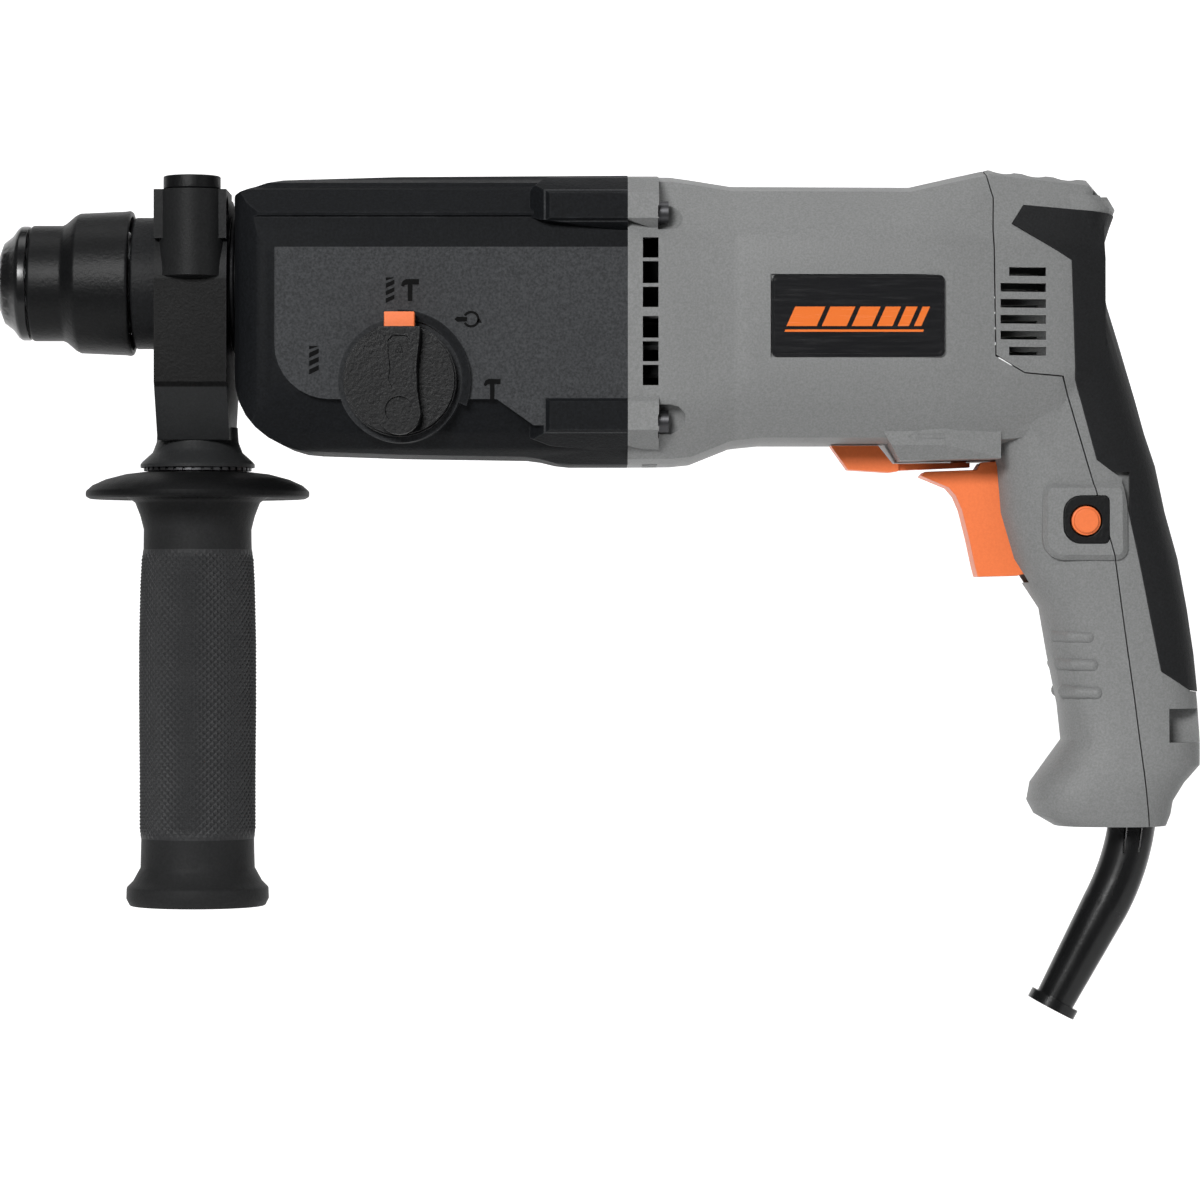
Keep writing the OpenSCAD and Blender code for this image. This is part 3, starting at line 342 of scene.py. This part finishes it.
# how far the edges of each visible moulding are broken, in millimetres
ROUNDED = {
    "dust_cap": 0.35, "lock_sleeve": 0.4, "nose_barrel": 0.4, "neck_ring": 0.5, "gear_housing": 0.45,
    "motor_housing": 0.5, "rear_cover": 0.5, "soft_grip": 0.5, "label_plate": 0.2, "flange_screws": 0.2,
    "cover_screws": 0.2, "mode_knob": 0.4, "mode_button": 0.3, "trigger": 0.6, "direction_lever": 0.4,
    "lock_button": 0.4, "lock_frame": 0.35, "side_clamp": 0.5, "depth_button": 0.4, "side_grip": 0.5,
    "cord_guard": 0.4, "tool_holder": 0.3,
}

for name, obj in nodes.items():
    look = LOOKS[FINISH.get(name, "steel")]
    for slot in obj.material_slots:
        slot.material = look
    if name in ROUNDED:
        weld = obj.modifiers.new("weld", "WELD")
        weld.merge_threshold = 0.00001
        flat = obj.modifiers.new("flat", "DECIMATE")
        flat.decimate_type = "DISSOLVE"
        flat.angle_limit = math.radians(0.8)
        edge = obj.modifiers.new("edge", "BEVEL")
        edge.width = ROUNDED[name] * MM
        edge.segments = 2
        edge.limit_method = "ANGLE"
        edge.angle_limit = math.radians(32)
        edge.use_clamp_overlap = True
        edge.harden_normals = False
        for p in obj.data.polygons:
            p.use_smooth = True
        smooth = obj.modifiers.new("smooth", "WEIGHTED_NORMAL")
        smooth.keep_sharp = True
        smooth.weight = 100


# ---------------------------------------------------------------- fine details that ride on the CAD bodies

def finish_piece(obj, look, body):
    obj.data.materials.append(LOOKS[look])
    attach(obj, body)
    return obj


def new_object(name, data):
    obj = bpy.data.objects.new(name, data)
    scene.collection.objects.link(obj)
    return obj


def strokes(name, origin, lines, look, body, thick):
    """Raised line drawing on a face across the Y axis. Lines are closed, in millimetres."""
    curve = bpy.data.curves.new(name, "CURVE")
    curve.dimensions = "3D"
    curve.bevel_depth = thick * MM
    curve.bevel_resolution = 2
    for line in lines:
        spline = curve.splines.new("POLY")
        spline.points.add(len(line) - 1)
        for point, (x, z) in zip(spline.points, line):
            point.co = (origin.x + x * MM, origin.y, origin.z + z * MM, 1)
        spline.use_cyclic_u = True
    return finish_piece(new_object(name, curve), look, body)


def plates(name, origin, outlines, depth, look, body):
    """Thin plates with softened rims, raised towards -Y from a face across that axis."""
    mesh = bpy.data.meshes.new(name)
    bm = bmesh.new()
    for outline in outlines:
        back = [bm.verts.new((origin.x + x * MM, origin.y, origin.z + z * MM))
                for x, z in outline]
        front = [bm.verts.new((v.co.x, v.co.y - depth * MM, v.co.z)) for v in back]
        n = len(back)
        bm.faces.new(front)
        bm.faces.new(back[::-1])
        for i in range(n):
            bm.faces.new((back[i], back[(i + 1) % n], front[(i + 1) % n], front[i]))
    bmesh.ops.recalc_face_normals(bm, faces=bm.faces)
    bm.to_mesh(mesh)
    bm.free()
    obj = new_object(name, mesh)
    rim = obj.modifiers.new("rim", "BEVEL")
    rim.width = depth * 0.35 * MM
    rim.segments = 2
    return finish_piece(obj, look, body)


def arc(cx, cz, r, a0, a1, n=12):
    return [(cx + r * math.cos(math.radians(a0 + (a1 - a0) * i / n)),
             cz + r * math.sin(math.radians(a0 + (a1 - a0) * i / n))) for i in range(n + 1)]


def moved(lines, dx, dz, k=1.0):
    return [[(x * k + dx, z * k + dz) for x, z in line] for line in lines]


# the symbols round the mode knob, in millimetres about their own middle
hammer_sign = [[(-2.7, 1.3), (-2.2, 2.6), (-1.2, 3.2), (2.6, 3.2), (2.6, 1.6), (0.7, 1.6),
                (0.7, -3.3), (-0.7, -3.3), (-0.7, 1.6), (-1.5, 1.5), (-2.0, 0.9)]]
drill_sign = [[(-1.6, z), (1.5, z + 1.5), (1.5, z + 3.0), (-1.6, z + 1.6)]
              for z in (-4.6, -1.9, 0.8)]
drill_sign += [[(-1.6, 3.5), (1.5, 4.6), (-1.6, 4.6)]]
turn_sign = [arc(1.2, 0, 2.9, 150, -150, 16) + arc(1.2, 0, 2.1, -150, 150, 16),
             [(-4.6, 0), (-3.6, 0.9), (-0.2, 0.7), (-0.2, -0.7), (-3.6, -0.9)],
             [(2.9, -1.2), (4.9, -1.2), (3.9, 0.6)]]

knob = spot("mode_knob")
panel = Vector((knob.x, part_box("gear_housing")[0].y + PANEL_DEPTH * MM, knob.z + 0.6 * MM))
signs = moved(drill_sign, -3.0, 26.2, 0.82) + moved(hammer_sign, 2.9, 26.3, 1.0)
signs += moved(turn_sign, 20.0, 17.6, 0.86) + moved(hammer_sign, 27.3, -3.2, 0.95)
signs += moved(drill_sign, -25.6, 5.4, 0.92)
plates("mode_signs", panel, signs, 0.2, "sign", "tool_body")

bar_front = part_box("mode_knob")[0].y
pointer = Vector((knob.x, bar_front + 0.85 * MM, knob.z + 9.6 * MM))
arrowhead = [(-1.1, -1.7), (0, 1.5), (1.1, -1.7), (0.35, -1.7), (0, -0.4), (-0.35, -1.7)]
strokes("knob_pointer", pointer, [arrowhead], "sign", "mode_selector", 0.14)

label_low, label_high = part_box("label_plate")
label_mid = (label_low + label_high) / 2
badge = Vector((label_mid.x - 0.3 * MM, label_low.y, label_mid.z - 0.2 * MM))
# plain slanted bars over a thin line
bars = []
start = -21.0
for width in (9.0, 7.4, 6.0, 4.6, 3.4, 2.2):
    end = start + width
    bars.append([(start, -2.9), (end, -2.9), (end + 2.6, 2.9), (start + 2.6, 2.9)])
    start = end + 1.5
bars.append([(-21.6, -4.6), (19.6, -4.6), (19.9, -3.9), (-21.3, -3.9)])
plates("label_bars", badge, bars, 0.12, "label_orange", "tool_body")
# a fine line just inside the label's outline, with round corners
inset, corner = 0.9, 1.2
left = (label_low.x - badge.x) / MM + inset + corner
right = (label_high.x - badge.x) / MM - inset - corner
bottom = (label_low.z - badge.z) / MM + inset + corner
top = (label_high.z - badge.z) / MM - inset - corner
rim = [p for quarter, (x, z) in enumerate([(right, top), (left, top), (left, bottom), (right, bottom)])
       for p in arc(x, z, corner, 90 * quarter, 90 * quarter + 90, 5)]
strokes("label_rim", badge, [rim], "satin", "tool_body", 0.1)

arrow = [[(-5.4, 0), (-2.6, 1.5), (-2.6, 0.6), (5.4, 0.6), (5.4, -0.6), (-2.6, -0.6),
          (-2.6, -1.5)]]
lever_low, lever_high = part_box("direction_lever")
for side, name in ((-1, "arrow_near"), (1, "arrow_far")):
    at = Vector((lever_high.x - 14.8 * MM, side * LEVER_BLOCK_HALF * MM, lever_low.z + 10.2 * MM))
    strokes(name, at, arrow, "grey", "tool_body", 0.26)


def grip_profile():
    """Outer radius of the side grip against height, read from the CAD mesh."""
    obj = nodes["side_grip"]
    axis = spot("side_grip")
    rings = {}
    for v in obj.data.vertices:
        key = round(v.co.z * 2000)
        r = math.hypot(v.co.x - axis.x, v.co.y - axis.y)
        rings[key] = max(rings.get(key, 0), r)
    outer = sorted((k / 2000, r) for k, r in rings.items() if r > 0.012)
    return axis, outer


def radius_at(outer, z):
    for (za, ra), (zb, rb) in zip(outer, outer[1:]):
        if za <= z <= zb:
            return ra + (rb - ra) * (z - za) / max(zb - za, 1e-9)
    return outer[-1][1]


# crossed knurling on the side grip: every other point of a fine net stands proud
axis, outer = grip_profile()
grip_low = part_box("side_grip")[0].z
z_start, z_end = grip_low + 20.5 * MM, grip_low + 108.5 * MM
around, rows = 98, 82
mesh = bpy.data.meshes.new("grip_knurl")
verts, faces = [], []
for j in range(rows + 1):
    z = z_start + (z_end - z_start) * j / rows
    fade = min(1.0, j / 3, (rows - j) / 3)
    for i in range(around):
        a = 2 * math.pi * i / around
        r = radius_at(outer, z) + (0.05 + (0.5 * fade if (i + j) % 2 == 0 else 0.0)) * MM
        verts.append((axis.x + r * math.cos(a), axis.y + r * math.sin(a), z))
for j in range(rows + 1):
    for i in range(around):
        if (i + j) % 2:
            continue
        c = j * around + i
        east, west = j * around + (i + 1) % around, j * around + (i - 1) % around
        if j < rows:
            north = (j + 1) * around + i
            faces += [(c, east, north), (c, north, west)]
        if j > 0:
            south = (j - 1) * around + i
            faces += [(c, west, south), (c, south, east)]
mesh.from_pydata(verts, [], faces)
mesh.update()
finish_piece(new_object("grip_knurl", mesh), "knurl", "side_grip_body")


# ---------------------------------------------------------------- stage, light and camera

def sheet_mesh(name, rows):
    """A mesh from rows of points, one quad between each four neighbours."""
    mesh = bpy.data.meshes.new(name)
    n = len(rows[0])
    verts = [p for row in rows for p in row]
    faces = [(r * n + c, r * n + c + 1, (r + 1) * n + c + 1, (r + 1) * n + c)
             for r in range(len(rows) - 1) for c in range(n - 1)]
    mesh.from_pydata(verts, [], faces)
    mesh.update()
    return new_object(name, mesh)


lo, hi = cad_box
centre = (Vector(lo) + Vector(hi)) / 2
floor_z = lo[2] - FLOOR_DROP

# floor, quarter round and wall of the paper sweep, as (y, height)
sweep = [(-0.45, 0.0), (1.6, 0.0)]
for i in range(1, 11):
    a = math.radians(9 * i)
    sweep.append((1.6 + SWEEP_RADIUS * math.sin(a), SWEEP_RADIUS - SWEEP_RADIUS * math.cos(a)))
sweep.append((2.5, 3.2))
floor = sheet_mesh("studio_sweep", [[(centre.x + x, y, floor_z + z) for x in (-FLOOR_HALF, FLOOR_HALF)]
                                    for y, z in sweep])
paper = Nodes("studio_paper")
paper.put("Roughness", 0.9)
paper.put("Specular IOR Level", 0.1)
grainy = paper.noise(paper.coords(), 30, 3.0)
paper.link(paper.mix(paper.ramp(grainy, 0.3, 0.7, 0, 1), (0.88, 0.88, 0.88), (0.9, 0.9, 0.9)),
           paper.shader.inputs["Base Color"])
# the far paper glows, so that it stays white without lighting the tool from below
paper.put("Emission Color", (1, 1, 1, 1))
place = paper.add("ShaderNodeSeparateXYZ")
paper.link(paper.coords(), place.inputs[0])
paper.link(paper.ramp(place.outputs[1], 0.25, 0.6, 0.1, 0.75), paper.shader.inputs["Emission Strength"])
floor.data.materials.append(paper.material)
for p in floor.data.polygons:
    p.use_smooth = True

world = bpy.data.worlds.new("studio")
scene.world = world
world.use_nodes = True
world.node_tree.nodes["Background"].inputs["Color"].default_value = (1, 1, 1, 1)
world.node_tree.nodes["Background"].inputs["Strength"].default_value = 0.07


def softbox(name, place, target, size, power):
    light = bpy.data.lights.new(name, "AREA")
    light.shape = "RECTANGLE"
    light.size, light.size_y = size
    light.energy = power
    obj = new_object(name, light)
    obj.location = place
    obj.rotation_euler = (Vector(target) - Vector(place)).to_track_quat("-Z", "Y").to_euler()


softbox("key", (centre.x - 0.6, -2.0, 0.7), centre, (0.7, 0.5), 39)
softbox("fill", (centre.x + 1.4, -1.1, 0.15), centre, (0.4, 0.8), 3)
softbox("top", (centre.x, 0.0, 1.3), centre, (1.6, 0.6), 6.5)

camera = bpy.data.cameras.new("camera")
camera.sensor_width = SENSOR
camera.lens = LENS
camera.clip_start, camera.clip_end = 0.05, 30
eye = new_object("camera", camera)
eye.location = EYE
eye.rotation_euler = (math.radians(90), 0, 0)
scene.camera = eye
